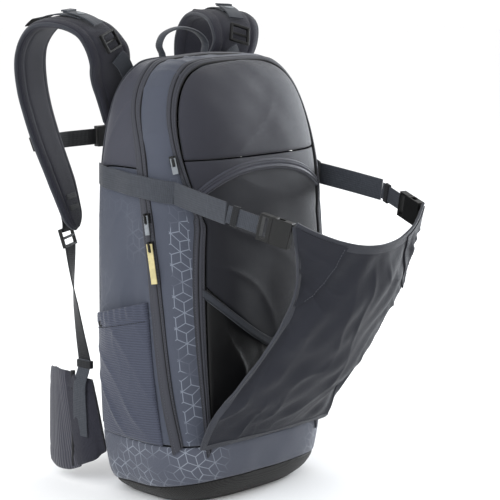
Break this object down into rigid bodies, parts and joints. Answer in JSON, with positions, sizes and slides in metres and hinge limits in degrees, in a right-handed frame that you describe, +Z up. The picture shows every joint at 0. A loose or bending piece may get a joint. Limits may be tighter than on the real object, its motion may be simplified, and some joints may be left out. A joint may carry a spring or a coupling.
{
  "type": "backpack",
  "caption": "Arched zip backpack with padded shoulder straps, sternum strap, elastic hip wings, stretch side pockets, haul loop and a strapped front flap that holds a helmet.",
  "frame": {"origin": "centre of the flat base that the bag stands on", "axes": "+Z up, -Y out of the front face away from the wearer, +Y towards the wearer's back, +X to the right seen from the front"},
  "size_m": [0.3484, 0.46, 0.5747],
  "materials": {
    "shell_fabric": "slightly shiny tight woven polyester",
    "printed_fabric": "matte woven polyester with a faint line print",
    "stretch_fabric": "finely ribbed stretch fabric",
    "dark_fabric": "smooth dark coated fabric",
    "strap_fabric": "soft knitted spacer fabric",
    "mesh_foam": "black air mesh over foam",
    "grey_webbing": "ribbed grey polyester webbing",
    "black_webbing": "ribbed black polyester webbing",
    "zip_tape": "warm grey coated tape over a reversed coil zip",
    "black_plastic": "matte moulded acetal",
    "cream_tab": "moulded soft tab",
    "silver_tab": "pale moulded tab and cord",
    "board": "matte polyethylene sheet"
  },
  "bodies": {
    "bag": {"base_skid_panel": "dark_fabric", "base_panel": "printed_fabric", "side_panel_left": "printed_fabric", "side_panel_right": "printed_fabric", "upper_panel": "shell_fabric", "front_gusset": "printed_fabric", "back_panel": "mesh_foam", "front_panel": "dark_fabric", "frame_board": "board", "side_pocket_left": "stretch_fabric", "side_pocket_right": "stretch_fabric", "main_zip_band": "zip_tape", "front_zip_band": "zip_tape", "stowage_mouth": "grey_webbing", "back_pad_left": "mesh_foam", "back_pad_right": "mesh_foam", "lumbar_pad": "mesh_foam", "side_strap_left": "grey_webbing", "side_strap_right": "grey_webbing"},
    "lid": {"front_lid": "shell_fabric"},
    "grab_handle": {"haul_loop": "black_webbing"},
    "harness": {"shoulder_pad_left": "strap_fabric", "shoulder_pad_right": "strap_fabric", "strap_rail_left": "grey_webbing", "strap_rail_right": "grey_webbing", "load_lifter_lock_left": "black_plastic", "load_lifter_lock_right": "black_plastic", "load_lifter_webbing_left": "grey_webbing", "load_lifter_webbing_right": "grey_webbing", "strap_adjuster_left": "black_plastic", "strap_adjuster_right": "black_plastic", "lower_webbing_left": "black_webbing", "lower_webbing_right": "black_webbing"},
    "sternum_strap": {"sternum_clip_left": "black_plastic", "sternum_clip_right": "black_plastic", "sternum_webbing_left": "black_webbing", "sternum_webbing_right": "black_webbing", "sternum_buckle_socket": "black_plastic", "sternum_buckle_plug": "black_plastic"},
    "slider_upper": {"main_zip_slider_upper": "black_plastic"},
    "pull_upper": {"main_zip_pull_silver": "silver_tab"},
    "slider_lower": {"main_zip_slider_lower": "black_plastic"},
    "pull_lower": {"main_zip_pull_cream": "cream_tab"},
    "slider_front": {"front_zip_slider": "black_plastic"},
    "pull_front": {"front_zip_pull": "silver_tab"},
    "hip_wing_left": {"hip_wing_root_left": "strap_fabric", "hip_wing_band_left": "stretch_fabric"},
    "hip_wing_right": {"hip_wing_root_right": "strap_fabric", "hip_wing_band_right": "stretch_fabric"},
    "carrier": {"carrier_flap": "dark_fabric", "carrier_buckle_socket_left": "black_plastic", "carrier_buckle_socket_right": "black_plastic"},
    "strap_end_left": {"carrier_buckle_plug_left": "black_plastic", "carrier_webbing_left": "grey_webbing", "side_strap_free_left": "grey_webbing"},
    "keeper_left": {"strap_keeper_left": "black_webbing"},
    "strap_end_right": {"carrier_buckle_plug_right": "black_plastic", "carrier_webbing_right": "grey_webbing", "side_strap_free_right": "grey_webbing"},
    "keeper_right": {"strap_keeper_right": "black_webbing"}
  },
  "joints": [
    {"name": "lid_fold", "type": "hinge", "parent": "bag", "child": "lid", "pos_m": [0, -0.10395, 0.41135], "axis": [1, 0, 0], "range_deg": [0, 70]},
    {"name": "grab_handle_swing", "type": "hinge", "parent": "bag", "child": "grab_handle", "pos_m": [0, 0.032, 0.5243], "axis": [1, 0, 0], "range_deg": [-25, 15]},
    {"name": "harness_swing", "type": "hinge", "parent": "bag", "child": "harness", "pos_m": [0, 0.064, 0.455], "axis": [1, 0, 0], "range_deg": [-5, 12], "deforming": ["lower_webbing_left", "lower_webbing_right", "load_lifter_webbing_left", "load_lifter_webbing_right"]},
    {"name": "sternum_height", "type": "slide", "parent": "harness", "child": "sternum_strap", "axis": [0, 0.3566, 0.9342], "range_m": [-0.007, 0.007]},
    {"name": "main_zip_upper", "type": "slide", "parent": "bag", "child": "slider_upper", "axis": [0.0269, 0.198, 0.9798], "range_m": [-0.003, 0.014]},
    {"name": "main_zip_lower", "type": "slide", "parent": "bag", "child": "slider_lower", "axis": [-0.0136, 0.1686, 0.9856], "range_m": [-0.024, 0.002]},
    {"name": "front_zip", "type": "slide", "parent": "bag", "child": "slider_front", "axis": [0.0066, 0.2938, 0.9558], "range_m": [-0.003, 0.006]},
    {"name": "pull_upper_swing", "type": "hinge", "parent": "slider_upper", "child": "pull_upper", "pos_m": [-0.14012, -0.05296, 0.34794], "axis": [-0.1511, 0.9697, -0.1918], "range_deg": [0, 130]},
    {"name": "pull_lower_swing", "type": "hinge", "parent": "slider_lower", "child": "pull_lower", "pos_m": [-0.14028, -0.05927, 0.3157], "axis": [-0.1898, 0.9673, -0.1681], "range_deg": [0, 130]},
    {"name": "pull_front_swing", "type": "hinge", "parent": "slider_front", "child": "pull_front", "pos_m": [-0.12049, -0.07848, 0.41486], "axis": [-0.6495, 0.728, -0.2193], "range_deg": [0, 130]},
    {"name": "hip_wing_fold_left", "type": "hinge", "parent": "bag", "child": "hip_wing_left", "pos_m": [-0.1238, 0.0538, 0.086], "axis": [0, 0, 1], "range_deg": [-5, 30]},
    {"name": "hip_wing_fold_right", "type": "hinge", "parent": "bag", "child": "hip_wing_right", "pos_m": [0.1238, 0.0538, 0.086], "axis": [0, 0, -1], "range_deg": [-5, 30]},
    {"name": "carrier_swing", "type": "hinge", "parent": "bag", "child": "carrier", "pos_m": [0, -0.12, 0.079], "axis": [1, 0, 0], "range_deg": [-8, 4], "deforming": ["side_strap_free_left", "side_strap_free_right"]},
    {"name": "carrier_buckle_left", "type": "slide", "parent": "carrier", "child": "strap_end_left", "axis": [-0.2671, 0.9349, 0.2337], "range_m": [0, 0.02], "deforming": ["side_strap_free_left"]},
    {"name": "keeper_slide_left", "type": "slide", "parent": "strap_end_left", "child": "keeper_left", "axis": [0.2671, -0.9349, -0.2337], "range_m": [-0.004, 0.016]},
    {"name": "carrier_buckle_right", "type": "slide", "parent": "carrier", "child": "strap_end_right", "axis": [0.2671, 0.9349, 0.2337], "range_m": [0, 0.02], "deforming": ["side_strap_free_right"]},
    {"name": "keeper_slide_right", "type": "slide", "parent": "strap_end_right", "child": "keeper_right", "axis": [-0.2671, -0.9349, -0.2337], "range_m": [-0.004, 0.016]}
  ]
}
